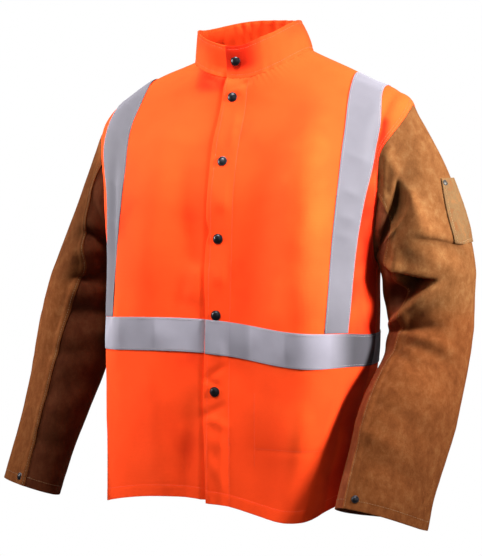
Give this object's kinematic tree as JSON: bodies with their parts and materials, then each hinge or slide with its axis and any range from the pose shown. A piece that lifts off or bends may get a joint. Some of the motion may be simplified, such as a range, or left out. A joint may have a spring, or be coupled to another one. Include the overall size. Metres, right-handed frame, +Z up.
{
  "type": "flame-resistant reflective jacket",
  "caption": "Work jacket in worn form: orange cotton body with stand collar and snap front, reflective tape at waist and shoulders, brown suede sleeves with a pencil pocket.",
  "frame": {"origin": "inside the neck opening, midway between the two points where the collar meets the shoulders and level with them", "axes": "+Z up along the wearer's back, -Y the way the front faces, +X towards the wearer's left"},
  "size_m": [0.7547, 0.2759, 0.7582],
  "materials": {
    "cotton": "matte flame-resistant cotton, high-visibility orange",
    "tape": "satin silver-grey retroreflective tape",
    "suede": "napped split suede, tan brown",
    "snap": "black oxide metal",
    "rivet": "dull steel"
  },
  "bodies": {
    "root": {"front_right": "cotton", "front_left": "cotton", "back_panel": "cotton", "collar": "cotton", "waist_tape_right": "tape", "waist_tape_left": "tape", "waist_tape_back": "tape", "brace_right": "tape", "brace_left": "tape", "sleeve_right_top": "suede", "sleeve_right_under": "suede", "sleeve_left_top": "suede", "sleeve_left_under": "suede", "sleeve_pocket": "suede", "cuff_snap_right": "snap", "cuff_snap_left": "snap", "pocket_rivet": "rivet", "front_snap_1": "snap", "front_snap_2": "snap", "front_snap_3": "snap", "front_snap_4": "snap", "front_snap_5": "snap", "front_snap_6": "snap"}
  },
  "joints": []
}
